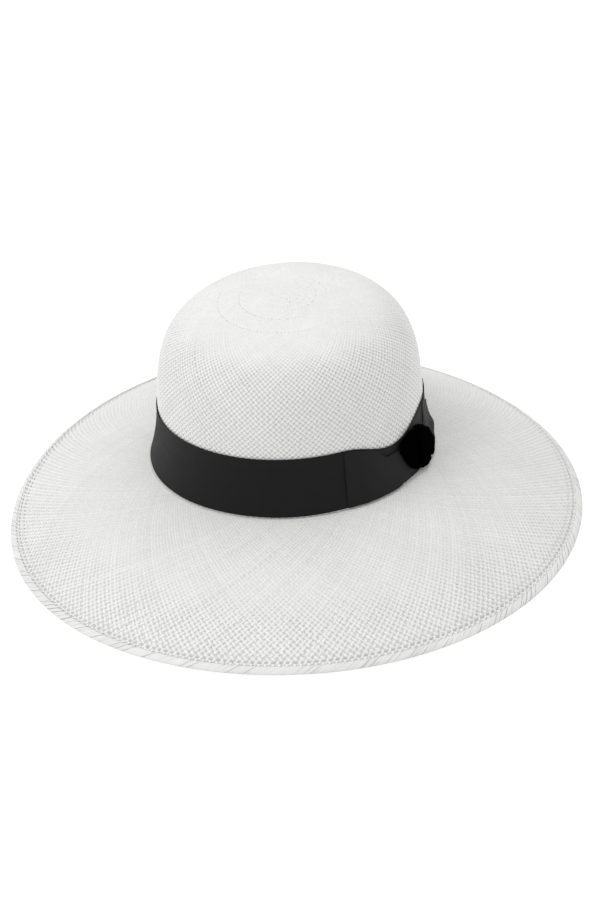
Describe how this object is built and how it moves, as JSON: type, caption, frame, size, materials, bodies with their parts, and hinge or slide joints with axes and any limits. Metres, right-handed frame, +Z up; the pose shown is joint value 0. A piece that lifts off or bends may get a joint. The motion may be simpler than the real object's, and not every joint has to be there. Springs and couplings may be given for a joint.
{
  "type": "panama hat",
  "caption": "Wide-brimmed woven straw hat with a round crown, dark ribbon band with a flat side bow, and an inner leather sweatband.",
  "frame": {"origin": "centre of the footprint at the height of the table that the brim rests on", "axes": "+Z up through the crown; -Y is the front of the hat, +Y the rear where the sweatband is seamed; +X is the wearer's left, the bow's side"},
  "size_m": [0.396, 0.4076, 0.1609],
  "materials": {
    "straw": "fine plaited straw, bleached, matt with a slight sheen",
    "band_ribbon": "charcoal grosgrain ribbon, cross-ribbed",
    "bow_ribbon": "charcoal grosgrain ribbon, cross-ribbed",
    "bow_black": "black grosgrain ribbon",
    "knot_black": "black grosgrain ribbon",
    "sweatband_leather": "pale smooth leather, semi-matt",
    "reed_cord": "smooth cord",
    "reed_tape": "woven cotton tape",
    "seam_tape": "woven cotton tape",
    "satin_bow": "black satin ribbon",
    "label_cloth": "woven label cloth, blank",
    "care_cloth": "printed-label satin, blank"
  },
  "bodies": {
    "hat": {"straw_body": "straw", "hat_band": "band_ribbon", "bow_long_loops": "bow_ribbon", "bow_short_loops": "bow_black", "bow_knot": "knot_black", "sweatband": "sweatband_leather", "sweatband_reed": "reed_cord", "reed_tape": "reed_tape", "sweatband_seam_tape": "seam_tape", "sweatband_back_bow": "satin_bow", "size_label": "label_cloth"},
    "care_label_leaf": {"care_label": "care_cloth"}
  },
  "joints": [
    {"name": "care_label_swing", "type": "hinge", "parent": "hat", "child": "care_label_leaf", "pos_m": [-0.0166, 0.0932, 0.06418], "axis": [0.0437, -0.1508, 0.9876], "range_deg": [0, 135]}
  ]
}
